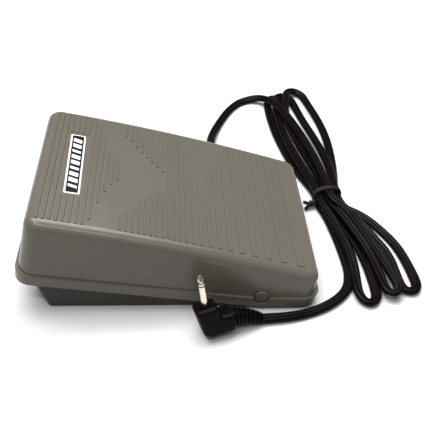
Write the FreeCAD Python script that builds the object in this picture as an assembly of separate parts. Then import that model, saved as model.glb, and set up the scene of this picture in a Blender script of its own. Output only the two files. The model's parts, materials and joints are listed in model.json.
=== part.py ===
"""Foot pedal for a sewing machine: a wedge-shaped treadle cover hinged on a low base, with its speed
control inside, a flat twin cord tied in a hank, and a right-angle plug.

Millimetres. +Z is up and the floor is z = 0. The length runs along X: the tall end is at -X and the
hinge is near the low end at +X. The rear wall, where the cord leaves, is at +Y. The origin is the
centre of the footprint. The cover is drawn fully pressed, square to the axes, and is then turned up
about the hinge to where it stands at rest.
"""

import FreeCAD
import Part
import math
import os

V = FreeCAD.Vector
X_AXIS, Y_AXIS, Z_AXIS = V(1, 0, 0), V(0, 1, 0), V(0, 0, 1)

# Driving dimensions
COVER_X0, COVER_X1 = -104.4, 103.8   # ends of the cover at its rim
WIDTH = 139.0             # cover, along Y, at its rim
PRESS_DEG = 8.5           # travel of the cover
HINGE_X, HINGE_Z = 62.5, 12.7
RIM_Z = 3.2               # underside of the rim above the floor when pressed
BAND_H = 8.0              # height of the thicker band along the rim
BAND_STEP = 1.2           # how far the band stands out from the wall above it
WALL = 2.2                # thickness of the cover
TALL_DRAFT_DEG, LOW_DRAFT_DEG, SIDE_DRAFT_DEG = 4.0, 4.8, 2.0
CORNER_R = 10.0           # corners of the cover in plan
TOP_EDGE_R = 7.5          # rounded edge round the treadle
TOP_ARC = ((-100.5, 55.1), (-4.5, 48.2), (99.5, 34.1))   # side view of the treadle, as x, z

# Ribs on the treadle
RIB_H = 0.7
RIB_DUTY = 0.5            # width of a rib as a share of its pitch
RIB_LAST_X = 84.9
RIB_FIRST_X = -93.5
RIB_PITCH_LAST = 12.4
RIB_PITCH_RATIO = 0.9     # each pitch is this times the one nearer the low end
RIB_PITCH_FINE = 4.0
RIB_HALF_Y = 60.0
# Edges of the smooth chevron as x, |y|: towards the low end, then towards the tall end
CHEVRON_OUTER = ((-8.5, 0.0), (-12.5, 9.5), (-27.0, 25.0), (-40.5, 45.0), (-47.0, 62.0))
CHEVRON_INNER = ((-38.5, 0.0), (-51.0, 21.0), (-56.5, 38.0), (-62.0, 62.0))

# Label
LABEL_X, LABEL_Y = -74.2, 1.5
LABEL_L, LABEL_W, LABEL_T = 66.0, 10.6, 0.8
LABEL_BORDER = 1.2
LABEL_TURN_DEG = 1.5       # it is stuck on slightly askew

# Base
BASE_Z = 1.2              # underside of the base above the floor
BASE_TALL_Z, BASE_LOW_Z = 35.0, 18.0
BASE_X0, BASE_X1 = -85.0, 96.0
BASE_HALF_Y = 65.3
BASE_WALL = 2.2
BASE_SLANT = 0.35         # how far the tall end leans out for each millimetre of height
BASE_SIDE_SLANT = 0.066
BASE_CORNER_R = 3.6
PLATE_T = 2.2
FOOT_R, FOOT_X, FOOT_Y = 6.5, (-66.0, 80.0), 46.0

# Hinge
PIN_R, PIN_HOLE_R = 4.70, 4.76
SPIGOT_R = 3.0
PIN_SHOULDER_Y, PIN_END_Y = 65.0, 69.1
GROOVE_W, GROOVE_DEEP = 1.1, 2.3        # the recess in the cover round the end of each pin

# Return springs
SPRING_X, SPRING_Y = -53.0, 37.0
SPRING_R, SPRING_WIRE_R, SPRING_TURNS = 6.7, 0.8, 6.5
SPRING_Z0, SPRING_Z1 = 5.4, 50.1
SOCKET_X, SOCKET_R, SOCKET_WALL = -55.3, 10.4, 1.6      # the cover's sockets for the springs, pressed
SOCKET_Z0, SOCKET_ROOF_Z = 26.7, 34.7

# Rubber stops that end the travel
STOP_X, STOP_Y = -76.0, 46.0

# Speed lever and potentiometer
LEVER_X, LEVER_Z = -10.0, 17.4          # axis of the potentiometer shaft
DRIVE_X, DRIVE_Z = -31.4, 24.5          # drive pin at rest
DRIVE_PIN_R = 2.0
BRACKET_SCREW_X = -23.6
BRACKET_Z, FLANGE_T = 36.7, 2.4          # top and thickness of the drive bracket's flange, pressed
SHAFT_R = 3.0

# Cord
CORD_W, CORD_T = 7.6, 4.2               # flat twin cord
CORD_R = 3.0                            # round tube of the same section area
EXIT_X, EXIT_Z = 35.0, 10.0
GLAND_Y0, GLAND_Y1 = 59.5, 97.0
FLOOR = CORD_R                          # height of the centre of a tube that lies on the floor

CORD_LEAD_ROUTE = (
    (EXIT_X, GLAND_Y1, EXIT_Z), (35.6, 117.0, 8.2), (39.4, 139.5, 4.0), (47.4, 161.8, FLOOR),
    (57.0, 182.4, FLOOR), (67.8, 197.2, FLOOR), (78.2, 203.2, FLOOR), (90.2, 203.0, 6.0), (100.7, 191.0, 10.0),
)
CORD_TAIL_ROUTE = (
    (129.6, -48.6, 4.2), (123.6, -58.3, FLOOR), (111.3, -67.9, FLOOR), (95.6, -74.9, FLOOR),
    (78.8, -78.9, 3.8),
)

# Plug, in its own frame: the pin points along +Z and the cord leaves along +X
PLUG_AT = V(25.8, -91.3, 0)
PLUG_LEAN_LEFT_DEG, PLUG_LEAN_BACK_DEG, PLUG_YAW_DEG = 10.0, 14.0, 14.5
PLUG_H, PLUG_W = 14.0, 15.5
PLUG_TOP_Z = 22.5                              # top of the upright arm that carries the pin
PLUG_HEEL_X, PLUG_TOP_X0, PLUG_TOP_X1 = -4.6, -8.2, 7.2
PLUG_BOOT_H, PLUG_BOOT_W = 13.4, 13.5          # section where the boot leaves the body
PLUG_PIN_R, PLUG_PIN_L = 2.2, 22.5
PLUG_TIP_L, PLUG_RING_L = 7.4, 1.0
BOOT_X0, BOOT_X1 = 16.0, 37.0
BOOT_SAG, BOOT_SIDE = 9.5, 1.2                 # how far the boot bends down and to the rear over its length
BOOT_DROOP_DEG, BOOT_SWING_DEG = 20.0, 11.0

HINGE = V(HINGE_X, 0, HINGE_Z)
SIDES = (-1, 1)


def put(name, shape):
    """Writes one node, after checking that every piece of it is a valid solid."""
    solids = shape.Solids
    if not solids or any(not s.isValid() or s.Volume < 1e-3 for s in solids):
        raise ValueError(name + " is not made of valid solids")
    shape = solids[0] if len(solids) == 1 else Part.makeCompound(solids)
    shape.exportStep("parts/%s.step" % name)


def box(x0, x1, y0, y1, z0, z1):
    return Part.makeBox(x1 - x0, y1 - y0, z1 - z0, V(x0, y0, z0))


def rod(start, axis, radius, length):
    return Part.makeCylinder(radius, length, start, axis)


def fused(shapes):
    return shapes[0].multiFuse(shapes[1:]).removeSplitter() if len(shapes) > 1 else shapes[0]


def rounded_rect(x0, x1, y0, y1, r, z):
    """A closed wire in the plane z, with arcs of radius r at its corners."""
    edges = []
    corners = ((x1 - r, y1 - r, 0), (x0 + r, y1 - r, 90), (x0 + r, y0 + r, 180), (x1 - r, y0 + r, 270))
    for cx, cy, start in corners:
        circle = Part.Circle(V(cx, cy, z), Z_AXIS, r)
        edges.append(circle.toShape(math.radians(start), math.radians(start + 90)))
    ends = [(e.valueAt(e.FirstParameter), e.valueAt(e.LastParameter)) for e in edges]
    wires = []
    for i in range(4):
        wires += [edges[i], Part.makeLine(ends[i][1], ends[(i + 1) % 4][0])]
    return Part.Wire(Part.__sortEdges__(wires))


def side_prism(points, half_y=120.0):
    """The polygon of x, z points, extruded along Y both ways."""
    wire = Part.makePolygon([V(x, -half_y, z) for x, z in points + points[:1]])
    return Part.Face(wire).extrude(V(0, 2 * half_y, 0))


def arc_through(points):
    (x0, z0), (x1, z1), (x2, z2) = points
    return Part.Arc(V(x0, 0, z0), V(x1, 0, z1), V(x2, 0, z2))


TREADLE = arc_through(TOP_ARC).toShape().Curve
TREADLE_R, TREADLE_C = TREADLE.Radius, TREADLE.Center


def treadle_z(x, below=0.0):
    """Height of the treadle's surface at x, with the cover pressed."""
    return TREADLE_C.z + math.sqrt((TREADLE_R - below) ** 2 - (x - TREADLE_C.x) ** 2)


def treadle_slope_deg(x):
    return math.degrees(math.atan2(-(x - TREADLE_C.x), treadle_z(x) - TREADLE_C.z))


def raised(shape):
    """Turns a piece of the cover from the pressed position up to where it is at rest."""
    shape = shape.copy()
    shape.rotate(HINGE, Y_AXIS, PRESS_DEG)
    return shape


# ---------------------------------------------------------------- cover

def under_treadle(inset):
    """Everything below the treadle's surface, lowered by inset."""
    half = 110.0
    xs = (-half, -4.0, half)
    top = [V(x, -120, treadle_z(x, inset)) for x in xs]
    arc = Part.Arc(*top).toShape()
    low = [V(half, -120, -20), V(-half, -120, -20)]
    outline = [top[2]] + low + [top[0]]
    wire = Part.Wire([arc] + [Part.makeLine(a, b) for a, b in zip(outline, outline[1:])])
    return Part.Face(wire).extrude(V(0, 240, 0))


def rim_strip(z_low, z_high):
    """The strip along the rim, level up to the hinge and then rising by the travel."""
    far = 120.0
    rise = (far - HINGE_X) * math.tan(math.radians(PRESS_DEG))
    return side_prism([(-far, z_low), (HINGE_X, z_low), (far, z_low + rise),
                       (far, z_high + rise), (HINGE_X, z_high), (-far, z_high)])


def walls_form(inset):
    """The tapered outer form above the rim band, drawn in by inset."""
    height = 64.0
    x0, x1, y = COVER_X0 + BAND_STEP + inset, COVER_X1 - BAND_STEP - inset, WIDTH / 2 - BAND_STEP - inset
    tall, low, side = [height * math.tan(math.radians(d)) for d in (TALL_DRAFT_DEG, LOW_DRAFT_DEG, SIDE_DRAFT_DEG)]
    base_z = RIM_Z - 4.0
    bottom = rounded_rect(x0, x1, -y, y, CORNER_R - inset, base_z)
    top = rounded_rect(x0 + tall, x1 - low, -y + side, y - side, CORNER_R - inset, base_z + height)
    return Part.makeLoft([bottom, top], True, True)


def band_form(inset):
    y, r = WIDTH / 2 - inset, CORNER_R + BAND_STEP - inset
    outline = rounded_rect(COVER_X0 + inset, COVER_X1 - inset, -y, y, r, -10.0)
    return Part.Face(outline).extrude(V(0, 0, 60))


def rounded_top(block, inset):
    """The block with the edge round its curved top rounded off."""
    edges = [e for e in block.Edges
             if all(abs(v.Point.z - treadle_z(v.Point.x, inset)) < 0.05 for v in e.Vertexes)
             and abs(e.CenterOfMass.z - treadle_z(e.CenterOfMass.x, inset)) < 1.5]
    return block.makeFillet(TOP_EDGE_R - inset, edges)


def outer_shell():
    above_rim = rim_strip(RIM_Z, 90.0)
    block = rounded_top(walls_form(0).common(under_treadle(0)).common(above_rim), 0)
    band = band_form(0).common(rim_strip(RIM_Z, RIM_Z + BAND_H))
    ledge = [e for e in band.Edges if e.BoundBox.ZMin > RIM_Z + BAND_H - 0.5]
    band = band.makeChamfer(0.5, ledge)
    hollow = rounded_top(walls_form(WALL).common(under_treadle(WALL)), WALL)
    hollow_band = band_form(WALL).common(rim_strip(RIM_Z - 5, RIM_Z + BAND_H - WALL))
    return block.fuse(band).cut(hollow).cut(hollow_band).removeSplitter()


def rib_places():
    """Centre and width of each rib, from the low end: the pitch shrinks by a ratio until it is fine."""
    x, pitch, places = RIB_LAST_X, RIB_PITCH_LAST, []
    while x > RIB_FIRST_X:
        places.append((x, RIB_DUTY * pitch))
        x -= pitch
        pitch = max(RIB_PITCH_FINE, pitch * RIB_PITCH_RATIO)
    return places


def edge_half_y(edge, x):
    """Distance from the centre line at which an edge of the chevron crosses x: 0 before its tip."""
    if x >= edge[0][0]:
        return 0.0
    for (x0, y0), (x1, y1) in zip(edge, edge[1:]):
        if x >= x1:
            return y0 + (x0 - x) / (x0 - x1) * (y1 - y0)
    return RIB_HALF_Y


def rib_spans(x):
    """The stretches of Y that a rib at x covers, clear of the smooth chevron and of the label."""
    outer, inner = edge_half_y(CHEVRON_OUTER, x), edge_half_y(CHEVRON_INNER, x)
    if outer <= 0:
        spans = [(-RIB_HALF_Y, RIB_HALF_Y)]
    else:
        spans = [(-RIB_HALF_Y, -outer), (-inner, inner), (outer, RIB_HALF_Y)]
    if abs(x - LABEL_X) < LABEL_W / 2 + 1.8:
        gap = LABEL_L / 2 + 2.0
        spans = [(-RIB_HALF_Y, LABEL_Y - gap), (LABEL_Y + gap, RIB_HALF_Y)]
    return [(a, b) for a, b in spans if b - a > 6.0]


def rib(x, width, y0, y1):
    """A raised strip with sloping sides, set square to the curve of the treadle."""
    root = 0.6
    low, high = width / 2 + 0.15, width / 2 - 0.35
    foot = rounded_rect(-low, low, y0, y1, min(1.2, low * 0.6), -root)
    head = rounded_rect(-high, high, y0 + 0.5, y1 - 0.5, min(0.9, high * 0.6), RIB_H)
    strip = Part.makeLoft([foot, head], True, True)
    strip.rotate(V(0, 0, 0), Y_AXIS, -treadle_slope_deg(x))
    strip.translate(V(x, 0, treadle_z(x)))
    return strip


def ribs():
    return [rib(x, width, y0, y1) for x, width in rib_places() for y0, y1 in rib_spans(x)]


def spring_socket(side):
    return rod(V(SOCKET_X, side * SPRING_Y, SOCKET_Z0), Z_AXIS, SOCKET_R + SOCKET_WALL, 30)


def cover_inside():
    """Sockets, stop posts, hooks and stiffening ribs under the treadle, all trimmed to the cover's form."""
    pieces = [spring_socket(s) for s in SIDES]
    pieces += [rod(V(STOP_X, s * STOP_Y, RIM_Z + 7.3), Z_AXIS, 4.5, 50) for s in SIDES]
    pieces += [box(-102.0, -91.0, s * 26 - 6, s * 26 + 6, 5.7, 8.7) for s in SIDES]
    pieces += [box(-89, 93, s * 20 - 0.9, s * 20 + 0.9, 31.7, 60) for s in SIDES]
    pieces += [box(x - 0.9, x + 0.9, -60, 60, 34.7, 60) for x in (-13.0, 24.0)]
    pieces += [box(-42, -19, -9, 9, BRACKET_Z, 60)]
    return [p.common(walls_form(WALL / 2)).common(under_treadle(WALL / 2)) for p in pieces]


def cord_notch():
    """A slot in the rear wall that lets the cover come down past the cord."""
    width, top = 7.6, 19.0
    slot = box(EXIT_X - width, EXIT_X + width, WIDTH / 2 - 12, WIDTH / 2 + 5, -5, top - width)
    return slot.fuse(rod(V(EXIT_X, WIDTH / 2 - 12, top - width), Y_AXIS, width, 17))


def label_slab(shrink, z0, z1):
    """A flat slab on the label's place, square to the treadle there."""
    r = 1.0
    l, w = LABEL_L / 2 - shrink, LABEL_W / 2 - shrink
    slab = Part.Face(rounded_rect(-w, w, LABEL_Y - l, LABEL_Y + l, r, z0)).extrude(V(0, 0, z1 - z0))
    slab.rotate(V(0, LABEL_Y, 0), Z_AXIS, LABEL_TURN_DEG)
    slab.rotate(V(0, 0, 0), Y_AXIS, -treadle_slope_deg(LABEL_X))
    slab.translate(V(LABEL_X, 0, treadle_z(LABEL_X)))
    return slab


def make_cover():
    shell = outer_shell()
    shell = shell.fuse(cover_inside()).fuse(ribs())
    for s in SIDES:
        y = s * (WIDTH / 2 + 3)
        shell = shell.cut(rod(V(HINGE_X, y, HINGE_Z), V(0, -s, 0), PIN_HOLE_R, 12))
        shell = shell.cut(rod(V(HINGE_X, y, HINGE_Z), V(0, -s, 0), PIN_HOLE_R + GROOVE_W, 3 + GROOVE_DEEP))
        shell = shell.cut(rod(V(SOCKET_X, s * SPRING_Y, 20), Z_AXIS, SOCKET_R, SOCKET_ROOF_Z - 20))
    shell = shell.cut(cord_notch())
    shell = shell.cut(label_slab(-0.15, -0.6, 6.0))
    for s in SIDES:
        shell = shell.cut(rod(V(BRACKET_SCREW_X, s * 6.0, 30), Z_AXIS, 1.3, 15.0))
    shell = shell.removeSplitter()
    return max(shell.Solids, key=lambda solid: solid.Volume)


def make_drive_bracket():
    """A forked bracket under the treadle that carries the drive pin, drawn at rest and turned down to fit."""
    hole = rod(V(DRIVE_X, -20, DRIVE_Z), Y_AXIS, DRIVE_PIN_R, 40)
    hole.rotate(HINGE, Y_AXIS, -PRESS_DEG)
    eye = hole.CenterOfMass
    low = BRACKET_Z - FLANGE_T
    flange = box(-41, -20, -9, 9, low, BRACKET_Z)
    arms = [box(-37, eye.x + 4.5, s * 5.5 - 1.3, s * 5.5 + 1.3, eye.z - 4.5, low) for s in SIDES]
    body = fused([flange] + arms).cut(hole)
    for s in SIDES:
        body = body.cut(rod(V(BRACKET_SCREW_X, s * 6.0, 20), Z_AXIS, 1.7, 20.0))
    pin = rod(V(eye.x, -7.6, eye.z), Y_AXIS, DRIVE_PIN_R - 0.02, 15.2)
    screws = []
    for s in SIDES:
        at = V(BRACKET_SCREW_X, s * 6.0, low)
        screws.append(rod(at, Z_AXIS, 1.25, 7.5).fuse(rod(at, V(0, 0, -1), 2.6, 1.8)))
    return body, pin, Part.makeCompound(screws)


# ---------------------------------------------------------------- base

def base_form(inset):
    """The base's outer form, drawn in by inset: the tall end leans out and the sides lean in."""
    height = 40.0
    x0, x1, y = BASE_X0 + inset, BASE_X1 - inset, BASE_HALF_Y - inset
    low = rounded_rect(x0, x1, -y, y, BASE_CORNER_R - inset / 2, BASE_Z)
    dy = height * BASE_SIDE_SLANT
    high = rounded_rect(x0 - height * BASE_SLANT, x1 - dy, -y + dy, y - dy, BASE_CORNER_R - inset / 2, BASE_Z + height)
    return Part.makeLoft([low, high], True, True)


def base_top(drop):
    far = 130.0
    run = BASE_X1 - BASE_X0
    slope = (BASE_LOW_Z - BASE_TALL_Z) / run
    z0, z1 = BASE_TALL_Z + slope * (-far - BASE_X0), BASE_LOW_Z + slope * (far - BASE_X1)
    return side_prism([(-far, -30), (far, -30), (far, z1 - drop), (-far, z0 - drop)])


SCREW_PLACES = ((-72.0, -56.5), (-72.0, 56.5), (86.0, -56.5), (86.0, 56.5))


def make_housing():
    walls = base_form(0).common(base_top(0)).cut(base_form(BASE_WALL))
    inside = base_form(BASE_WALL / 2).common(base_top(4))
    extra = []
    for x, y in SCREW_PLACES:
        s = 1 if y > 0 else -1
        post = rod(V(x, y, BASE_Z + PLATE_T), Z_AXIS, 4.2, 14)
        web = box(x - 1.2, x + 1.2, min(y, s * 66), max(y, s * 66), BASE_Z + PLATE_T, BASE_Z + PLATE_T + 14)
        extra += [post.fuse(web).common(inside)]
    for s in SIDES:
        boss = rod(V(HINGE_X, s * 54, HINGE_Z), V(0, s, 0), 7.5, 11.6)
        y0, y1 = sorted((s * 54, s * 65))
        foot = box(HINGE_X - 7.5, HINGE_X + 7.5, y0, y1, BASE_Z + PLATE_T + 0.1, HINGE_Z)
        extra.append(boss.fuse(foot).common(base_form(0.3)))
    housing = fused([walls] + extra)
    for s in SIDES:
        housing = housing.cut(rod(V(HINGE_X, s * 50, HINGE_Z), V(0, s, 0), SPIGOT_R, 20))
        housing = housing.cut(box(-102, -80, s * 26 - 7, s * 26 + 7, 20.5, 32.4))
    for x, y in SCREW_PLACES:
        housing = housing.cut(rod(V(x, y, BASE_Z), Z_AXIS, 1.35, 13))
    housing = housing.cut(rod(V(EXIT_X, 55, EXIT_Z), Y_AXIS, 4.6, 20))
    return max(housing.Solids, key=lambda solid: solid.Volume)


BOARD = (8.0, 56.0, 8.0, 46.0, 9.0, 10.6)          # circuit board: x0, x1, y0, y1, z0, z1
BOARD_HOLES = tuple((x, y) for x in (11.5, 52.5) for y in (11.5, 42.5))


def make_bottom_plate():
    top = BASE_Z + PLATE_T
    gap = BASE_WALL + 0.15
    plate = Part.Face(rounded_rect(BASE_X0 + gap, BASE_X1 - gap - 0.2, -BASE_HALF_Y + gap + 0.2,
                                   BASE_HALF_Y - gap - 0.2, 6.0, BASE_Z)).extrude(V(0, 0, PLATE_T))
    extra = []
    for s in SIDES:
        extra.append(rod(V(SPRING_X, s * SPRING_Y, top - 0.5), Z_AXIS, 10.2, 6.5))
        extra.append(rod(V(STOP_X, s * STOP_Y, top - 0.5), Z_AXIS, 3.0, 2.5))
    for x, y in BOARD_HOLES:
        extra.append(rod(V(x, y, top - 0.5), Z_AXIS, 3.0, BOARD[4] - top + 0.5))
    for s in SIDES:
        extra.append(box(EXIT_X - 9, EXIT_X + 9, 49, 55.5, top - 0.5, EXIT_Z - CORD_T / 2 - 0.2))
    extra += [box(-70, 78, s * 24 - 0.9, s * 24 + 0.9, top - 0.5, top + 1.5) for s in SIDES]
    plate = fused([plate] + extra)
    for s in SIDES:
        plate = plate.cut(rod(V(SPRING_X, s * SPRING_Y, SPRING_Z0 - 1.0), Z_AXIS, 8.3, 10))
        plate = plate.cut(rod(V(EXIT_X + s * 6.6, 52.2, top), Z_AXIS, 1.15, 10))
    for x, y in BOARD_HOLES:
        plate = plate.cut(rod(V(x, y, top), Z_AXIS, 1.15, 10))
    for x, y in SCREW_PLACES:
        plate = plate.cut(rod(V(x, y, BASE_Z - 1), Z_AXIS, 1.7, 6))
        plate = plate.cut(Part.makeCone(3.3, 1.7, 1.6, V(x, y, BASE_Z), Z_AXIS))
    for x in FOOT_X:
        for s in SIDES:
            plate = plate.cut(rod(V(x, s * FOOT_Y, BASE_Z - 1), Z_AXIS, FOOT_R + 0.05, 2.2))
    for i in range(7):
        plate = plate.cut(box(-38 + i * 6, -35 + i * 6, -55, -30, BASE_Z - 1, top + 1))
    plate = plate.cut(rating_plate_box(0.1))
    return max(plate.Solids, key=lambda solid: solid.Volume)


def rating_plate_box(grow):
    return box(14 - grow, 50 + grow, -46 - grow, -24 + grow, BASE_Z, BASE_Z + 0.3)


def make_pot_leads():
    """Three wires from the potentiometer's tags to the edge of the circuit board."""
    x0, y0, z0 = LEVER_X, POT_Y0 + 3.8, LEVER_Z - 10.2
    edge_x, edge_z = BOARD[0] + 1.0, BOARD[5]
    wires = []
    for i, x in enumerate((-5.0, 0.0, 5.0)):
        y = 18.0 + i * 5.0
        wires.append(tube([(x0 + x, y0 - 0.7, z0), (x0 + x, y0 + 3.4, z0 + 1.2), (x0 + x + 5.0, y, z0 + 2.6),
                           (edge_x - 3.2, y + 1.0, edge_z + 1.9), (edge_x, y + 1.2, edge_z + 1.6),
                           (edge_x + 1.2, y + 1.2, edge_z)], 0.6))
    return Part.makeCompound(wires)


def make_bottom_screws():
    screws = []
    for x, y in SCREW_PLACES:
        head = Part.makeCone(3.15, 1.3, 1.8, V(x, y, BASE_Z + 0.05), Z_AXIS)
        head = head.fuse(rod(V(x, y, BASE_Z + 1.0), Z_AXIS, 1.3, 11))
        for turn in (0, 90):
            slot = box(-1.9, 1.9, -0.35, 0.35, 0, 0.9)
            slot.rotate(V(0, 0, 0), Z_AXIS, turn)
            slot.translate(V(x, y, BASE_Z - 0.1))
            head = head.cut(slot)
        screws.append(head)
    return Part.makeCompound(screws)


def make_feet():
    feet = []
    for x in FOOT_X:
        for s in SIDES:
            foot = rod(V(x, s * FOOT_Y, 0), Z_AXIS, FOOT_R, BASE_Z + 1.15)
            rim = [e for e in foot.Edges if e.BoundBox.ZMax < 0.01]
            feet.append(foot.makeFillet(0.8, rim))
    return Part.makeCompound(feet)


def make_hinge_pin(side):
    head = rod(V(HINGE_X, side * PIN_SHOULDER_Y, HINGE_Z), V(0, side, 0), PIN_R, PIN_END_Y - PIN_SHOULDER_Y)
    end = [e for e in head.Edges if abs(abs(e.CenterOfMass.y) - PIN_END_Y) < 0.01 and len(e.Vertexes) == 1]
    head = head.makeFillet(0.7, end)
    spigot = rod(V(HINGE_X, side * 54.5, HINGE_Z), V(0, side, 0), SPIGOT_R - 0.02, PIN_SHOULDER_Y - 54.4)
    return head.fuse(spigot).removeSplitter()


def make_spring(side):
    pitch = (SPRING_Z1 - SPRING_Z0) / SPRING_TURNS
    helix = Part.makeHelix(pitch, SPRING_Z1 - SPRING_Z0, SPRING_R)
    ring = Part.Wire([Part.makeCircle(SPRING_WIRE_R, V(SPRING_R, 0, 0), V(0, 1, pitch / (2 * math.pi * SPRING_R)))])
    coil = Part.Wire(helix.Edges).makePipeShell([ring], True, True)
    coil.translate(V(SPRING_X, side * SPRING_Y, SPRING_Z0))
    return coil


def make_bumpers():
    top = BASE_Z + PLATE_T
    pads = []
    for s in SIDES:
        cup = rod(V(STOP_X, s * STOP_Y, top + 0.05), Z_AXIS, 5.0, RIM_Z + 7.0 - top - 0.05)
        pads.append(cup.cut(rod(V(STOP_X, s * STOP_Y, top), Z_AXIS, 3.05, 2.1)))
    return Part.makeCompound(pads)


# ---------------------------------------------------------------- speed control

POT_Y0, POT_Y1 = 8.4, 16.4


def make_lever():
    """The forked lever on the potentiometer shaft. Its slot follows the drive pin."""
    reach = math.hypot(DRIVE_X - LEVER_X, DRIVE_Z - LEVER_Z)
    hub = rod(V(0, -3.4, 0), Y_AXIS, 6.0, 6.8)
    arm = box(-reach - 4.5, 0, -2.0, 2.0, -4.3, 4.3)
    lever = hub.fuse(arm)
    lever = lever.cut(box(-reach - 6, -reach + 3.0, -3, 3, -2.2, 2.2))
    lever = lever.cut(rod(V(-reach + 3.0, -3, 0), Y_AXIS, 2.2, 6))
    lever = lever.cut(d_shaft(SHAFT_R + 0.02, -5, 10))
    lever.rotate(V(0, 0, 0), Y_AXIS, math.degrees(math.atan2(DRIVE_Z - LEVER_Z, LEVER_X - DRIVE_X)))
    lever.translate(V(LEVER_X, 0, LEVER_Z))
    return lever.removeSplitter()


def d_shaft(radius, y0, length):
    shaft = rod(V(0, y0, 0), Y_AXIS, radius, length)
    return shaft.cut(box(-5, 5, y0 - 1, y0 + 8.0, radius - 1.5, radius + 2))


def make_pot_shaft():
    shaft = d_shaft(SHAFT_R, -3.2, 12.0)
    shaft.rotate(V(0, 0, 0), Y_AXIS, math.degrees(math.atan2(DRIVE_Z - LEVER_Z, LEVER_X - DRIVE_X)))
    shaft.translate(V(LEVER_X, 0, LEVER_Z))
    return shaft


def make_pot():
    at = V(LEVER_X, POT_Y0, LEVER_Z)
    case = rod(at, Y_AXIS, 8.5, POT_Y1 - POT_Y0)
    case = case.fuse(box(LEVER_X - 7, LEVER_X + 7, POT_Y0, POT_Y0 + 2.5, LEVER_Z - 11, LEVER_Z))
    bush = rod(V(LEVER_X, 4.2, LEVER_Z), Y_AXIS, 3.5, POT_Y0 - 4.2)
    bore = rod(V(LEVER_X, 3.0, LEVER_Z), Y_AXIS, SHAFT_R + 0.05, 6.5)
    return case.fuse(bush).cut(bore).removeSplitter()


def make_pot_bracket():
    top = BASE_Z + PLATE_T
    upright = box(LEVER_X - 9, LEVER_X + 9, POT_Y0 - 1.5, POT_Y0, top, LEVER_Z + 9)
    foot = box(LEVER_X - 9, LEVER_X + 9, POT_Y0 - 1.5, POT_Y0 + 14, top, top + 1.5)
    bracket = upright.fuse(foot).removeSplitter()
    bend = [e for e in bracket.Edges
            if abs(e.CenterOfMass.z - top) < 0.01 and abs(e.CenterOfMass.y - POT_Y0 + 1.5) < 0.01]
    bracket = bracket.makeFillet(1.2, bend)
    bracket = bracket.cut(rod(V(LEVER_X, POT_Y0 - 3, LEVER_Z), Y_AXIS, 3.6, 6))
    return bracket.cut(box(LEVER_X - 6, LEVER_X + 6, POT_Y0 + 3, POT_Y0 + 11, top - 1, top + 3))


def make_pot_nut():
    corners = [math.radians(60 * i) for i in range(7)]
    points = [V(LEVER_X + 5.2 * math.cos(a), 0, LEVER_Z + 5.2 * math.sin(a)) for a in corners]
    nut = Part.Face(Part.makePolygon(points)).extrude(V(0, 1.8, 0))
    nut.translate(V(0, POT_Y0 - 3.4, 0))
    return nut.cut(rod(V(LEVER_X, 0, LEVER_Z), Y_AXIS, 3.52, 12))


def make_pot_terminals():
    tags = []
    for x in (LEVER_X - 5.0, LEVER_X, LEVER_X + 5.0):
        tag = box(x - 0.6, x + 0.6, POT_Y0 + 2.6, POT_Y0 + 3.2, LEVER_Z - 10.9, LEVER_Z - 8.7)
        root = box(x - 0.6, x + 0.6, POT_Y0 + 2.5, POT_Y0 + 2.6, LEVER_Z - 10.5, LEVER_Z - 9)
        tags.append(tag.fuse(root))
    return Part.makeCompound(tags)


# ---------------------------------------------------------------- electronics

def make_board():
    x0, x1, y0, y1, z0, z1 = BOARD
    board = box(x0, x1, y0, y1, z0, z1)
    for x, y in BOARD_HOLES:
        board = board.cut(rod(V(x, y, z0 - 1), Z_AXIS, 1.4, 4))
    return board


def make_board_screws():
    screws = []
    for x, y in BOARD_HOLES:
        at = V(x, y, BOARD[5])
        screws.append(rod(at, Z_AXIS, 2.2, 1.4).fuse(rod(at, V(0, 0, -1), 1.1, 5.0)))
    return Part.makeCompound(screws)


def make_resistors():
    z = BOARD[5] + 1.3
    parts = []
    for i in range(4):
        at = V(17 + i * 4.5, 15, z)
        body = rod(at, Y_AXIS, 1.2, 6.5)
        body = body.makeFillet(0.4, [e for e in body.Edges if len(e.Vertexes) == 1])
        wires = rod(at + V(0, -1.6, 0), Y_AXIS, 0.3, 9.7)
        legs = [rod(V(at.x, y, BOARD[5]), Z_AXIS, 0.3, 1.55) for y in (13.6, 22.9)]
        parts.append(fused([body, wires] + legs))
    return Part.makeCompound(parts)


def make_capacitor():
    can = rod(V(42, 20, BOARD[5] + 0.2), Z_AXIS, 4.0, 9.0)
    return can.makeFillet(0.6, [e for e in can.Edges if len(e.Vertexes) == 1])


def make_trimmer():
    body = box(38.5, 45.5, 28.5, 35.5, BOARD[5], BOARD[5] + 4.0)
    rotor = rod(V(42, 32, BOARD[5] + 4.0), Z_AXIS, 2.5, 0.9)
    return body.fuse(rotor).cut(box(40, 44, 31.6, 32.4, BOARD[5] + 4.3, BOARD[5] + 6))


def make_terminal_block():
    z = BOARD[5]
    block = box(EXIT_X - 8, EXIT_X + 8, 36.5, 44, z, z + 8.0)
    for x in (EXIT_X - 4, EXIT_X + 4):
        block = block.cut(rod(V(x, 40, z + 4), Z_AXIS, 2.0, 6))
        block = block.cut(box(x - 1.8, x + 1.8, 42, 45, z + 1.2, z + 4.8))
    return block


def make_terminal_screws():
    screws = []
    for x in (EXIT_X - 4, EXIT_X + 4):
        head = rod(V(x, 40, BOARD[5] + 4.2), Z_AXIS, 1.8, 2.6)
        screws.append(head.cut(box(x - 2, x + 2, 39.7, 40.3, BOARD[5] + 6.2, BOARD[5] + 8)))
    return Part.makeCompound(screws)


# ---------------------------------------------------------------- cord and plug

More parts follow.
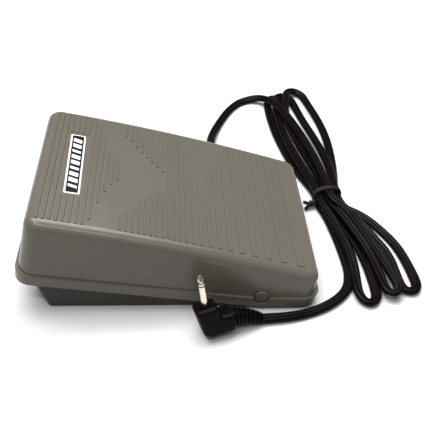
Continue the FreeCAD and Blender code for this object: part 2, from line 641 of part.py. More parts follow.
def rounded_path(points):
    """Straight runs joined by tangent arcs as large as the runs allow. Returns the wire and the radii."""
    pts = [V(*p) for p in points]
    edges, radii, last = [], [], pts[0]
    for a, b, c in zip(pts, pts[1:], pts[2:]):
        into, out = (b - a), (c - b)
        turn = into.getAngle(out)
        setback = 0.45 * min(into.Length, out.Length)
        radius = setback / math.tan(turn / 2)
        u, w = into.normalize(), out.normalize()
        start, end = b - u * setback, b + w * setback
        middle = b + (w - u).normalize() * (radius / math.cos(turn / 2) - radius)
        edges += [Part.LineSegment(last, start).toShape(), Part.Arc(start, middle, end).toShape()]
        radii.append(radius)
        last = end
    edges.append(Part.LineSegment(last, pts[-1]).toShape())
    return Part.Wire(edges), radii


def tube(points, radius):
    path, radii = rounded_path(points)
    first = path.Edges[0]
    start, along = first.valueAt(first.FirstParameter), first.tangentAt(first.FirstParameter)
    ring = Part.Wire([Part.makeCircle(radius, start, along)])
    shape = path.makePipeShell([ring], True, True)
    share = shape.Volume / (math.pi * radius ** 2 * path.Length)
    print("tube of %.0f mm, volume share %.3f, radii %s" % (path.Length, share, [round(r) for r in radii]))
    return shape


def make_gland():
    """Ribbed strain relief: a flange inside the rear wall, and a tapering sleeve with grooves outside it."""
    flange = rod(V(EXIT_X, GLAND_Y0, EXIT_Z), Y_AXIS, 6.2, 2.4)
    neck = rod(V(EXIT_X, GLAND_Y0, EXIT_Z), Y_AXIS, 4.5, 12)
    collar = Part.makeCone(5.6, 5.3, 5.0, V(EXIT_X, 65.3, EXIT_Z), Y_AXIS)
    sleeve = Part.makeCone(5.3, 3.9, GLAND_Y1 - 70.3, V(EXIT_X, 70.3, EXIT_Z), Y_AXIS)
    gland = fused([flange, neck, collar, sleeve])
    for i in range(6):
        y = 73.5 + i * 3.8
        for s in SIDES:
            if i % 2 == 0:
                cut = box(EXIT_X + s * 5 - 2.4, EXIT_X + s * 5 + 2.4, y, y + 1.8, EXIT_Z - 7, EXIT_Z + 7)
            else:
                cut = box(EXIT_X - 7, EXIT_X + 7, y, y + 1.8, EXIT_Z + s * 5 - 2.4, EXIT_Z + s * 5 + 2.4)
            gland = gland.cut(cut)
    return max(gland.Solids, key=lambda solid: solid.Volume)


def make_cord_stub():
    """The sheathed end of the cord inside the base, under its clamp."""
    y0, y1 = 47.5, GLAND_Y0 - 0.05
    half = (CORD_W - CORD_T) / 2
    flat = box(EXIT_X - half, EXIT_X + half, y0, y1, EXIT_Z - CORD_T / 2, EXIT_Z + CORD_T / 2)
    edges = [rod(V(EXIT_X + s * half, y0, EXIT_Z), Y_AXIS, CORD_T / 2, y1 - y0) for s in SIDES]
    return fused([flat] + edges)


def make_clamp():
    low = EXIT_Z - CORD_T / 2 - 0.2
    clamp = box(EXIT_X - 9, EXIT_X + 9, 49.5, 55.0, low + 1.2, EXIT_Z + CORD_T / 2 + 2.2)
    clamp = clamp.cut(box(EXIT_X - 4.1, EXIT_X + 4.1, 49, 56, low, EXIT_Z + CORD_T / 2 + 0.05))
    for s in SIDES:
        clamp = clamp.cut(rod(V(EXIT_X + s * 6.6, 52.2, 0), Z_AXIS, 1.4, 30))
    return clamp


def make_clamp_screws():
    screws = []
    for s in SIDES:
        at = V(EXIT_X + s * 6.6, 52.2, EXIT_Z + CORD_T / 2 + 2.2)
        screws.append(rod(at, Z_AXIS, 2.3, 1.5).fuse(rod(at, V(0, 0, -1), 1.1, 9.5)))
    return Part.makeCompound(screws)


def make_leads():
    """Two insulated cores from the stub to the terminal block."""
    cores = []
    for s in SIDES:
        x0, x1 = EXIT_X + s * 1.9, EXIT_X + s * 4.0
        route = [(x0, 47.45, EXIT_Z), (x0 + s * 0.7, 46.6, EXIT_Z + 2.0), (x1, 44.6, 13.6), (x1, 42.6, 13.7)]
        cores.append(tube(route, 0.9))
    return Part.makeCompound(cores)


HANK_OUTLINE = (
    # right side from the far end to the near end, then the left side back, as x, y
    (130, 222), (145.5, 205), (152, 166), (152, 126.5), (147.5, 87), (142.5, 49.5), (154, 31), (171.5, 6.5),
    (183.5, -21), (183.5, -41.5), (171.5, -56), (154, -57.5), (146.5, -66), (136.5, -69), (130.5, -59),
    (128.5, -34), (125.5, 3.5), (121, 33.5), (118, 54.5), (109, 90.5), (100, 129), (95, 164.5), (94, 192.5),
    (104, 212.5),
)
HANK_H = 13.5
TIE_X, TIE_Y, TIE_W, TIE_T = 130.6, 48.0, 3.0, 1.2
TIE_HALF_X = 12.6
TIE_TWIST = V(-0.9, -0.32, -0.28)      # the way the tie's twisted ends point


def make_hank():
    """The outer form of the tied hank: narrow at the tie and fanned out at both ends."""
    points = [V(x, y, 0) for x, y in HANK_OUTLINE]
    curve = Part.BSplineCurve()
    curve.interpolate(points, PeriodicFlag=True)
    form = Part.Face(Part.Wire([curve.toShape()])).extrude(V(0, 0, HANK_H))
    waist = box(TIE_X - 40, TIE_X + 40, TIE_Y - TIE_W / 2, TIE_Y + TIE_W / 2, -1, HANK_H + 1)
    slot = waist.cut(Part.Face(tie_section(TIE_T)).extrude(V(0, TIE_W, 0)))
    return form.cut(slot)


def tie_section(inset):
    """The tie's loop as an upright rounded rectangle, on its face nearer the front."""
    r = 4.2
    x0, x1 = TIE_X - TIE_HALF_X + inset, TIE_X + TIE_HALF_X - inset
    wire = rounded_rect(x0, x1, inset, HANK_H + TIE_T - inset, r - inset, 0)
    wire.rotate(V(0, 0, 0), X_AXIS, 90)
    wire.translate(V(0, TIE_Y - TIE_W / 2, 0))
    return wire


def make_tie():
    """A twist tie: a loop round the waist of the hank, with its twisted ends lying to the left."""
    loop = Part.Face(tie_section(0)).cut(Part.Face(tie_section(TIE_T))).extrude(V(0, TIE_W, 0))
    start = V(TIE_X - TIE_HALF_X + 0.6, TIE_Y, 6.8)
    twist = rod(start, TIE_TWIST, 1.4, 15.5)
    return loop.fuse(twist).removeSplitter()


def plug_section(x, width, height, lift, r):
    """An upright rounded rectangle across the plug at x."""
    wire = rounded_rect(-width / 2, width / 2, lift, lift + height, r, 0)
    wire.rotate(V(0, 0, 0), X_AXIS, 90)
    wire.rotate(V(0, 0, 0), Z_AXIS, 90)
    wire.translate(V(x, 0, 0))
    return wire


def placed_plug(shape):
    shape = shape.copy()
    shape.rotate(V(0, 0, 0), Z_AXIS, PLUG_YAW_DEG)
    shape.rotate(V(0, 0, 0), Y_AXIS, -PLUG_LEAN_LEFT_DEG)
    shape.rotate(V(0, 0, 0), X_AXIS, -PLUG_LEAN_BACK_DEG)
    shape.translate(PLUG_AT + V(0, 0, PLUG_LIFT))
    return shape


def boot_slice(share, shrink):
    """A section of the boot, from the plug's body (0) to the cord (1): it tapers and sags to the floor."""
    width = PLUG_BOOT_W + (CORD_W + 1.6 - PLUG_BOOT_W) * share - shrink
    height = PLUG_BOOT_H + (CORD_T + 2.4 - PLUG_BOOT_H) * share - shrink
    middle = PLUG_H / 2 - BOOT_SAG * share ** 1.6
    r = min(width, height) * 0.42
    wire = plug_section(0, width, height, middle - height / 2, r)
    wire.rotate(V(0, 0, middle), Y_AXIS, BOOT_DROOP_DEG * share)
    wire.rotate(V(0, 0, 0), Z_AXIS, -BOOT_SWING_DEG * share)
    wire.translate(V(BOOT_X0 + (BOOT_X1 - BOOT_X0) * share, BOOT_SIDE * share ** 1.6, 0))
    return wire


def make_boot():
    """The ribbed boot: full rings with thinner necks between them."""
    rings = 7
    pieces = []
    for i in range(rings):
        start, end, neck = i / rings, (i + 0.62) / rings, (i + 1) / rings
        pieces.append(Part.makeLoft([boot_slice(start, 0), boot_slice(end, 0)], True, True))
        pieces.append(Part.makeLoft([boot_slice(end, 2.2), boot_slice(neck, 2.2)], True, True))
    pieces.append(Part.makeLoft([boot_slice(1.0, 0), boot_slice(1.05, 0.4)], True, True))
    return max(fused(pieces).Solids, key=lambda solid: solid.Volume)


def plug_moulding():
    """The L-shaped moulding: an upright arm for the pin and a lying arm that ends at the boot."""
    step = (PLUG_H - PLUG_BOOT_H) / 2
    profile = [(PLUG_HEEL_X, 0), (BOOT_X0, step), (BOOT_X0, PLUG_H - step), (PLUG_TOP_X1 + 0.8, PLUG_H),
               (PLUG_TOP_X1, PLUG_TOP_Z), (PLUG_TOP_X0, PLUG_TOP_Z)]
    wire = Part.makePolygon([V(x, -PLUG_W / 2, z) for x, z in profile + profile[:1]])
    body = Part.Face(wire).extrude(V(0, PLUG_W, 0))
    corners = ((PLUG_HEEL_X, 0, 5.5), (PLUG_TOP_X0, PLUG_TOP_Z, 2.5), (PLUG_TOP_X1, PLUG_TOP_Z, 2.5),
               (PLUG_TOP_X1 + 0.8, PLUG_H, 2.0))
    for x, z, r in corners:
        body = body.makeFillet(r, [e for e in body.Edges if e.BoundBox.YLength > PLUG_W - 0.1
                                   and abs(e.CenterOfMass.x - x) + abs(e.CenterOfMass.z - z) < 0.01])
    sides = [e for e in body.Edges if e.BoundBox.YLength < 0.1 and e.BoundBox.XMin < BOOT_X0 - 0.1]
    return body.makeFillet(3.2, sides)


def plug_shapes():
    """Body, boot, sleeve, ring and tip in the plug's own frame."""
    body = plug_moulding()
    body = body.fuse(rod(V(0, 0, PLUG_TOP_Z - 1.0), Z_AXIS, 4.0, 2.0)).removeSplitter()
    z0 = PLUG_TOP_Z + 1.0
    sleeve_l = PLUG_PIN_L - PLUG_TIP_L - PLUG_RING_L
    sleeve = rod(V(0, 0, z0), Z_AXIS, PLUG_PIN_R, sleeve_l)
    ring = rod(V(0, 0, z0 + sleeve_l), Z_AXIS, PLUG_PIN_R, PLUG_RING_L)
    zt = z0 + sleeve_l + PLUG_RING_L
    r = PLUG_PIN_R
    outline = [V(0, 0, zt), V(r, 0, zt), V(r, 0, zt + 1.0), V(r - 0.75, 0, zt + 2.1), V(r - 0.75, 0, zt + 2.6),
               V(r, 0, zt + 3.9), V(r - 0.3, 0, zt + 4.9), V(0.7, 0, zt + PLUG_TIP_L), V(0, 0, zt + PLUG_TIP_L)]
    tip = Part.Face(Part.makePolygon(outline + outline[:1])).revolve(V(0, 0, 0), Z_AXIS, 360)
    return body, make_boot(), sleeve, ring, tip


PLUG_LIFT = 0.0
PLUG_PARTS = plug_shapes()
PLUG_LIFT = -min(placed_plug(p).BoundBox.ZMin for p in PLUG_PARTS[:2])
BOOT_END = placed_plug(Part.Face(boot_slice(1.05, 0.4))).CenterOfMass
PIN_BASE = placed_plug(Part.Vertex(0, 0, PLUG_TOP_Z + 1.0)).Point
PIN_TIP = placed_plug(Part.Vertex(0, 0, PLUG_TOP_Z + 1.0 + PLUG_PIN_L)).Point


# ---------------------------------------------------------------- all nodes

def main():
    os.makedirs("parts", exist_ok=True)
    bracket, drive_pin, bracket_screws = make_drive_bracket()
    put("pedal_cover", raised(make_cover()))
    put("label_plate", raised(label_slab(0, -0.6, LABEL_T - 0.6)))
    put("label_field", raised(label_slab(LABEL_BORDER, LABEL_T - 0.6, LABEL_T - 0.35)))
    put("drive_bracket", raised(bracket))
    put("drive_pin", raised(drive_pin))
    put("bracket_screws", raised(bracket_screws))
    put("base_housing", make_housing())
    put("bottom_plate", make_bottom_plate())
    put("bottom_screws", make_bottom_screws())
    put("rubber_feet", make_feet())
    put("rating_plate", rating_plate_box(0))
    put("hinge_pin_front", make_hinge_pin(-1))
    put("hinge_pin_rear", make_hinge_pin(1))
    put("return_spring_front", make_spring(-1))
    put("return_spring_rear", make_spring(1))
    put("stop_bumpers", make_bumpers())
    put("speed_lever", make_lever())
    put("pot_shaft", make_pot_shaft())
    put("pot_case", make_pot())
    put("pot_bracket", make_pot_bracket())
    put("pot_nut", make_pot_nut())
    put("pot_terminals", make_pot_terminals())
    put("pot_leads", make_pot_leads())
    put("circuit_board", make_board())
    put("board_screws", make_board_screws())
    put("resistors", make_resistors())
    put("capacitor", make_capacitor())
    put("trimmer", make_trimmer())
    put("terminal_block", make_terminal_block())
    put("terminal_screws", make_terminal_screws())
    put("cord_gland", make_gland())
    put("cord_stub", make_cord_stub())
    put("cord_clamp", make_clamp())
    put("clamp_screws", make_clamp_screws())
    put("inner_leads", make_leads())
    put("cord_lead", tube(CORD_LEAD_ROUTE, CORD_R))
    put("cord_hank", make_hank())
    put("cord_tie", make_tie())
    put("cord_tail", tube(CORD_TAIL_ROUTE + (tuple(BOOT_END),), CORD_R))
    for name, shape in zip(("plug_body", "plug_boot", "plug_sleeve", "plug_ring", "plug_tip"), PLUG_PARTS):
        put(name, placed_plug(shape))
    print("boot end %s, pin base %s, pin tip %s" % (tuple(BOOT_END), tuple(PIN_BASE), tuple(PIN_TIP)))


if __name__ == "__main__":
    main()
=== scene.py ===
"""Looks of the sewing machine foot pedal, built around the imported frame. Metres, in the frame's axes."""
import json
import math

import bpy
import numpy as np
from mathutils import Matrix, Vector


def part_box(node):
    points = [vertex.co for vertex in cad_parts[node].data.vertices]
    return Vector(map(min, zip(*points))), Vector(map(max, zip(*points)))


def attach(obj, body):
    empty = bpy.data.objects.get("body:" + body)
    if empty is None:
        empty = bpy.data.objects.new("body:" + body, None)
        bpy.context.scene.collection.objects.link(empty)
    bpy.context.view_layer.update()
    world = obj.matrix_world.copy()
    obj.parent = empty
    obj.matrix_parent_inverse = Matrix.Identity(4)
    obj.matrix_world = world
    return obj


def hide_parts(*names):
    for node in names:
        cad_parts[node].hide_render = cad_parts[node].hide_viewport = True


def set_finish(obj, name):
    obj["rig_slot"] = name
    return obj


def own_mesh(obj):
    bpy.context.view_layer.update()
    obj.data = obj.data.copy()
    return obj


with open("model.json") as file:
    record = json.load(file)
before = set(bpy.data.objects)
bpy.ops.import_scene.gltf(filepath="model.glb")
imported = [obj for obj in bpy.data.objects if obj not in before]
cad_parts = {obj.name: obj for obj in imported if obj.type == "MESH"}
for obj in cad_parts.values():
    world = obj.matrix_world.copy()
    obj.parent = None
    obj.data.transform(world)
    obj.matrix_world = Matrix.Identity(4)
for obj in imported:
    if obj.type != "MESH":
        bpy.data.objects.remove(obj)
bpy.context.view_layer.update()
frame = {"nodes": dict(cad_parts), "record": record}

NODES = frame["nodes"]
SLOTS = {part["node"]: part["material_slot"] for part in frame["record"]["subparts"]}

# Camera: where it stands, how it is turned, and its lens on a 36 mm sensor
CAMERA_AT = Vector((-0.0040, -0.3638, 0.3499))
CAMERA_YAW, CAMERA_DOWN, CAMERA_ROLL = 0.0960, 0.7198, 0.0666
CAMERA_LENS = 55.06

# Flat twin cord
CORD_W, CORD_T = 0.0076, 0.0042
FLAT = CORD_T / 2                  # height of the centre of a cord that lies flat
EDGE_ROLL = math.radians(24)       # how far it tips towards its edge in a sharp turn
EDGE_RADIUS = 0.016                # a turn this sharp tips it all the way
CORD_STEP = 0.0022                 # from one section of the cord to the next
ROUTE_REACH, BEND_REACH, ROLL_REACH = 2, 4, 7    # sections either side over which each is evened out
GROOVE_SHARE, GROOVE_HEIGHT = 0.25, 0.62         # floor of the groove: shares of a core's offset and radius
SECTION_POINTS = 28                # round the cord's outline

# Routes outside the hank: from the gland to the hank, and from the hank into the plug's boot
LEAD_ROUTE = (
    (0.0350, 0.0970, 0.0100), (0.0356, 0.1170, 0.0082), (0.0394, 0.1395, 0.0040), (0.0474, 0.1618, FLAT),
    (0.0570, 0.1824, FLAT), (0.0678, 0.1972, FLAT), (0.0782, 0.2032, 0.0030), (0.0902, 0.2030, 0.0060),
    (0.1007, 0.1910, 0.0100),
)
TAIL_ROUTE = (
    (0.1296, -0.0486, 0.0024), (0.1236, -0.0583, FLAT), (0.1113, -0.0679, FLAT), (0.0956, -0.0749, FLAT),
    (0.0788, -0.0789, 0.0030), (0.0623, -0.0801, 0.0034), (0.0594, -0.0809, 0.0037),
)

# Hank: seven strands through the tie, with three loops at the far end and three at the near end
TIE_X, TIE_Y = 0.1306, 0.0480
HALF_TIE_STRAND = 0.009            # half the stretch over which a strand runs straight through the tie
PLACES = {                         # each strand in the tie: distance from the middle along X, and height
    "lead": (0.0010, 0.0112), "tail": (-0.0077, 0.0034),
    "large_right": (0.0077, 0.0034), "large_left": (0.0000, 0.0076),
    "middle_right": (0.0077, 0.0077), "middle_left": (-0.0077, 0.0076),
    "small_right": (0.0000, 0.0033),
}
FAR, NEAR = 1, -1
ENTERS_RIGHT, ENTERS_LEFT = 1, -1
# The loops, in the order in which the cord runs through them. Each has the end of the hank that it is at,
# the side that the cord comes in by, the strand through the tie that it leaves by, the tip of its rounded
# end, half the width and the depth of that end, and the points of the legs out and back.
LOOPS = (
    dict(end=NEAR, side=ENTERS_LEFT, leave="large_right",
         tip=(0.1740, -0.0560, 0.0026), half=0.0068, depth=0.0095,
         out=((0.1410, 0.0315, 0.0095), (0.1500, 0.0160, 0.0072),
              (0.1590, -0.0020, 0.0050), (0.1668, -0.0190, 0.0036)),
         back=((0.1790, -0.0235, 0.0024), (0.1756, -0.0060, 0.0022),
               (0.1672, 0.0120, 0.0022), (0.1556, 0.0290, 0.0026))),
    dict(end=FAR, side=ENTERS_RIGHT, leave="large_left",
         tip=(0.1275, 0.2185, 0.0050), half=0.0110, depth=0.0180,
         out=((0.1425, 0.0755, 0.0030), (0.1465, 0.1100, 0.0024),
              (0.1475, 0.1415, 0.0022), (0.1445, 0.1695, 0.0026)),
         back=((0.1112, 0.1685, 0.0088), (0.1127, 0.1435, 0.0090),
               (0.1183, 0.1130, 0.0085), (0.1255, 0.0830, 0.0080))),
    dict(end=NEAR, side=ENTERS_LEFT, leave="middle_right",
         tip=(0.1590, -0.0610, 0.0066), half=0.0054, depth=0.0080,
         out=((0.1375, 0.0250, 0.0082), (0.1450, 0.0025, 0.0074),
              (0.1520, -0.0215, 0.0066)),
         back=((0.1588, -0.0270, 0.0078), (0.1528, -0.0030, 0.0082),
               (0.1462, 0.0205, 0.0084))),
    dict(end=FAR, side=ENTERS_RIGHT, leave="middle_left",
         tip=(0.1155, 0.2105, 0.0036), half=0.0096, depth=0.0150,
         out=((0.1405, 0.0825, 0.0068), (0.1380, 0.1160, 0.0050),
              (0.1335, 0.1470, 0.0026), (0.1285, 0.1715, 0.0022)),
         back=((0.1040, 0.1670, 0.0064), (0.1055, 0.1390, 0.0068),
               (0.1100, 0.1105, 0.0074), (0.1160, 0.0825, 0.0076))),
    dict(end=NEAR, side=ENTERS_LEFT, leave="small_right",
         tip=(0.1412, -0.0670, 0.0030), half=0.0072, depth=0.0110,
         out=((0.1285, 0.0240, 0.0074), (0.1330, 0.0020, 0.0066),
              (0.1364, -0.0200, 0.0060), (0.1362, -0.0370, 0.0046)),
         back=((0.1482, -0.0350, 0.0024), (0.1465, -0.0145, 0.0022),
               (0.1410, 0.0060, 0.0022), (0.1355, 0.0260, 0.0026))),
    dict(end=FAR, side=ENTERS_RIGHT, leave="tail",
         tip=(0.1050, 0.2070, 0.0030), half=0.0076, depth=0.0110,
         out=((0.1296, 0.0880, 0.0030), (0.1256, 0.1210, 0.0024),
              (0.1200, 0.1480, 0.0022), (0.1150, 0.1710, 0.0022)),
         back=((0.0980, 0.1670, 0.0022), (0.1000, 0.1440, 0.0022),
               (0.1044, 0.1170, 0.0022), (0.1110, 0.0855, 0.0026))),
)
LEAD_INTO_HANK = ((0.1095, 0.1675, 0.0125), (0.1158, 0.1450, 0.0133),
                  (0.1225, 0.1180, 0.0128), (0.1280, 0.0880, 0.0118))
HANK_TO_TAIL = ((0.1270, 0.0270, 0.0028), (0.1305, 0.0030, 0.0022),
                (0.1322, -0.0200, 0.0022), (0.1325, -0.0360, 0.0022))

# Twist tie: a band round the hank, and two ends wound round each other
TIE_HALF_X, TIE_TOP, TIE_W, TIE_T = 0.0124, 0.0146, 0.0042, 0.0012
TIE_SKEW, TIE_LEAN = 0.15, 0.25    # how far the band turns across the hank and leans to the far end
TIE_SQUARE_ABOVE, TIE_SQUARE_BELOW = 2.3, 5.0    # 2 is an ellipse; the band is nearly square at the floor
TIE_STEPS = 72
RIDGE_HEIGHT = TIE_T * 0.45        # the band has a ridge on each half, with a dip between them
RIDGE = (                          # edge to middle: share of the half width, share below the crest
    (1.0, 1.0), (0.75, 0.3), (0.5, 0.0), (0.2, 0.5), (0.0, 1.0),
)
TIE_END_START = Vector((TIE_X - TIE_HALF_X + 0.0050, TIE_Y - 0.0060, 0.0056))
TIE_TWIST = Vector((-0.94, -0.32, -0.10)).normalized()      # the way that both ends point
TIE_END_LENGTH, TIE_END_R = 0.0135, 0.0014
TIE_END_TURN = 4.0 * math.pi       # how far the ends would wind round each other over their whole length
TIE_END_PART, TIE_END_SPREAD = 0.82, 0.0016      # where along their length they part, and by how much

# Return springs: radius of the wire, turns, closed turns at each end and their pitch
SPRING_WIRE_R, SPRING_TURNS, SPRING_CLOSED, SPRING_CLOSED_PITCH = 0.0008, 8.5, 1.1, 0.0017

# Bars on the label
BAR_COUNT, BAR_SLANT, BAR_INK = 9, 0.28, 0.00006
BAR_WIDE, BAR_NARROW = 0.62, 0.40  # shares of the pitch; every third bar is a narrow one
BAR_FROM_END, BAR_FROM_SIDE = 0.0030, 0.0011     # margins of the black field

# Light and colours
FLOOR_HALF, FLOOR_COLOUR = 6.0, (0.58, 0.58, 0.577)
WORLD_STRENGTH, KEY_POWER, STRIP_POWER = 0.18, 45.0, 4.5
COVER_COLOUR = (0.093, 0.085, 0.070)
# The base is the cover's plastic made darker: painted shade for the shadow under the cover's overhang.
BASE_COLOUR_WITH_PAINTED_SHADE = (0.034, 0.029, 0.026)
CORD_COLOUR = (0.0026, 0.0014, 0.0020)
PATCHES, GLOSS_PATCHES = 28, 126   # slow patches of tone and of gloss, to the metre

CORNERS = ((-1, -1), (1, -1), (1, 1), (-1, 1))


# ---------------------------------------------------------------- cord

def strand_at_tie(name, end_from):
    """Two points of a strand that runs straight through the tie, coming from the far or the near side."""
    dx, z = PLACES[name]
    x, along = TIE_X + dx, end_from * HALF_TIE_STRAND
    return [(x, TIE_Y + along, z), (x, TIE_Y - along, z)]


def tip_points(loop):
    """Five points round the end of a loop: half an ellipse, with its middle at the tip."""
    x, y, z = loop["tip"]
    z_in, z_out = loop["out"][-1][2], loop["back"][0][2]
    heights = (z_in, (z_in + z) / 2, z, (z + z_out) / 2, z_out)
    points = []
    for step, height in enumerate(heights):
        a = math.pi * step / 4
        points.append((x + loop["side"] * loop["half"] * math.cos(a),
                       y - loop["end"] * loop["depth"] * (1 - math.sin(a)), height))
    return points


def cord_points():
    """Control points of the whole cord, from the gland into the plug's boot."""
    points = list(LEAD_ROUTE + LEAD_INTO_HANK) + strand_at_tie("lead", FAR)
    for loop in LOOPS:
        points += list(loop["out"]) + tip_points(loop) + list(loop["back"])
        points += strand_at_tie(loop["leave"], loop["end"])
    return points + list(HANK_TO_TAIL + TAIL_ROUTE)


def line_along(points):
    """Points along a smooth NURBS line that has the given control points."""
    curve = bpy.data.curves.new("route", "CURVE")
    curve.dimensions = "3D"
    curve.resolution_u = 12
    spline = curve.splines.new("NURBS")
    spline.points.add(len(points) - 1)
    for point, place in zip(spline.points, points):
        point.co = (*place, 1.0)
    spline.order_u = 3
    spline.use_endpoint_u = True
    holder = bpy.data.objects.new("route", curve)
    bpy.context.scene.collection.objects.link(holder)
    bpy.context.view_layer.update()
    mesh = bpy.data.meshes.new_from_object(holder)
    line = np.array([v.co[:] for v in mesh.vertices])
    bpy.data.objects.remove(holder)
    bpy.data.meshes.remove(mesh)
    return line


def smoothed(values, reach):
    """Moving average over reach values each side, with the ends held."""
    padded = np.concatenate([np.repeat(values[:1], reach, 0), values, np.repeat(values[-1:], reach, 0)])
    kernel = np.ones(2 * reach + 1) / (2 * reach + 1)
    if values.ndim == 1:
        return np.convolve(padded, kernel, "valid")
    columns = [np.convolve(column, kernel, "valid") for column in padded.T]
    return np.stack(columns, 1)


def even(line, step):
    """The same line with points step apart."""
    lengths = np.concatenate([[0], np.cumsum(np.linalg.norm(np.diff(line, axis=0), axis=1))])
    places = np.linspace(0, lengths[-1], int(lengths[-1] / step) + 1)
    return np.stack([np.interp(places, lengths, line[:, i]) for i in range(3)], 1)


def directions(line):
    """Unit vectors along the line."""
    along = np.gradient(line, axis=0)
    return along / np.linalg.norm(along, axis=1)[:, None]


def cord_roll(line):
    """How far the flat cord tips at each point: towards its edge where it turns sharply."""
    along = directions(line)
    heading = np.unwrap(np.arctan2(along[:, 1], along[:, 0]))
    bend = smoothed(np.gradient(heading) / CORD_STEP, BEND_REACH)
    return smoothed(np.clip(bend * EDGE_RADIUS, -1, 1) * EDGE_ROLL, ROLL_REACH)


def twin_section(width, thick):
    """Outline of a flat twin cord: two round cores side by side with a groove between them."""
    r = thick / 2
    off = width / 2 - r
    outline = []
    for i in range(SECTION_POINTS):
        a = 2 * math.pi * i / SECTION_POINTS
        x = math.cos(a) * width / 2
        nearest = min(abs(abs(x) - off), r)
        height = math.sqrt(max(0.0, r * r - nearest * nearest)) if abs(x) > 1e-5 else 0.0
        height = max(height, r * GROOVE_HEIGHT if abs(x) < off * GROOVE_SHARE else 0.0)
        outline.append((x, math.copysign(height, math.sin(a)) if abs(math.sin(a)) > 1e-6 else 0.0))
    return outline


def tube_faces(count, ring, closed=False):
    """Faces of a tube of count sections with ring points each. A closed tube meets its own beginning."""
    faces = []
    for i in range(count if closed else count - 1):
        here, ahead = i * ring, (i + 1) % count * ring
        for k in range(ring):
            m = (k + 1) % ring
            faces.append((here + k, here + m, ahead + m, ahead + k))
    return faces


def swept(name, line, outline, roll=None):
    """The outline carried along the line as a closed mesh. Its width lies level, tipped by roll."""
    count, ring = len(line), len(outline)
    along = directions(line)
    level = np.cross(along, (0.0, 0.0, 1.0))
    level /= np.linalg.norm(level, axis=1)[:, None]
    above = np.cross(level, along)
    roll = np.zeros(count) if roll is None else roll
    across = level * np.cos(roll)[:, None] + above * np.sin(roll)[:, None]
    over = above * np.cos(roll)[:, None] - level * np.sin(roll)[:, None]
    verts = [tuple(p + a * x + o * y) for p, a, o in zip(line, across, over) for x, y in outline]
    faces = tube_faces(count, ring)
    faces.append(tuple(reversed(range(ring))))
    faces.append(tuple(range((count - 1) * ring, count * ring)))
    return mesh_piece(name, verts, faces)


def circle(radius, count=12):
    """Points round a circle, as an outline to sweep."""
    angles = [2 * math.pi * i / count for i in range(count)]
    return [(radius * math.cos(a), radius * math.sin(a)) for a in angles]


def mesh_piece(name, verts, faces, smooth=True):
    """An object in the scene with this mesh."""
    mesh = bpy.data.meshes.new(name)
    mesh.from_pydata([tuple(v) for v in verts], [], faces)
    mesh.validate()
    mesh.update()
    for polygon in mesh.polygons:
        polygon.use_smooth = smooth
    piece = bpy.data.objects.new(name, mesh)
    bpy.context.scene.collection.objects.link(piece)
    return piece


def make_cord():
    """The whole cord as one flat twin cord, lying on the floor or above it."""
    line = even(smoothed(line_along(cord_points()), ROUTE_REACH), CORD_STEP)
    roll = cord_roll(line)
    lift = (CORD_W - CORD_T) / 2 * np.abs(np.sin(roll))
    line[:, 2] = np.maximum(line[:, 2], FLAT + lift)
    outline = twin_section(CORD_W, CORD_T)
    cord = swept("cord", line, outline, roll)
    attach(cord, "base")
    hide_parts("cord_lead", "cord_hank", "cord_tail")
    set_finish(cord, "cord_pvc")
    return cord


# ---------------------------------------------------------------- tie, springs and label

def signed_power(value, power):
    """The size of the value raised to the power, with the sign of the value."""
    return math.copysign(abs(value) ** power, value)


def tie_path():
    """Points of the band's path round the hank, each with the direction out from the hank."""
    path = []
    for step in range(TIE_STEPS):
        a = 2 * math.pi * step / TIE_STEPS
        square = TIE_SQUARE_ABOVE if step < TIE_STEPS / 2 else TIE_SQUARE_BELOW
        across = signed_power(math.cos(a), 2 / square)
        up = signed_power(math.sin(a), 2 / square)
        out = Vector((signed_power(across, square - 1) / TIE_HALF_X,
                      signed_power(up, square - 1) / (TIE_TOP / 2))).normalized()
        path.append((TIE_X + TIE_HALF_X * across, TIE_TOP / 2 * (1 + up), out.x, out.y))
    return path


def tie_section():
    """Outline of the band, as places along the hank and out from its outer face."""
    half = TIE_W / 2
    one_side = [(-half * place, -RIDGE_HEIGHT * below) for place, below in RIDGE]
    other_side = [(-along, out) for along, out in reversed(one_side[:-1])]
    return [(-half, -TIE_T)] + one_side + other_side + [(half, -TIE_T)]


def tie_band():
    """The band round the hank, turned a little across it and leaning to its far end."""
    path, section = tie_path(), tie_section()
    verts = []
    for x, z, out_x, out_z in path:
        turned = TIE_SKEW * (x - TIE_X) + TIE_LEAN * (z - TIE_TOP / 2)
        verts += [(x + out_x * out, TIE_Y + along + turned, z + out_z * out) for along, out in section]
    return mesh_piece("tie_band", verts, tube_faces(len(path), len(section), closed=True))


def tie_end(name, start_angle):
    """One of the two ends, wound round the other one and parting from it near the tip."""
    side = TIE_TWIST.cross(Vector((0, 0, 1))).normalized()
    over = side.cross(TIE_TWIST)
    line = []
    for step in range(TIE_STEPS + 1):
        share = step / TIE_STEPS
        a = start_angle + TIE_END_TURN * min(share, TIE_END_PART)
        parted = max(0.0, share - TIE_END_PART) / (1 - TIE_END_PART)
        spread = TIE_END_R + TIE_END_SPREAD * parted
        place = TIE_END_START + TIE_TWIST * TIE_END_LENGTH * share
        line.append(place + (side * math.cos(a) + over * math.sin(a)) * spread)
    return swept(name, np.array([p[:] for p in line]), circle(TIE_END_R, 14))


def make_tie():
    """A plastic-coated twist tie: a flat band round the hank and its two ends twisted together."""
    pieces = [tie_band(), tie_end("tie_end_3", 0.0), tie_end("tie_end_1", math.pi)]
    for piece in pieces:
        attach(piece, "base")
        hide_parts("cord_tie")
        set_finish(piece, "tie_plastic")
    return pieces


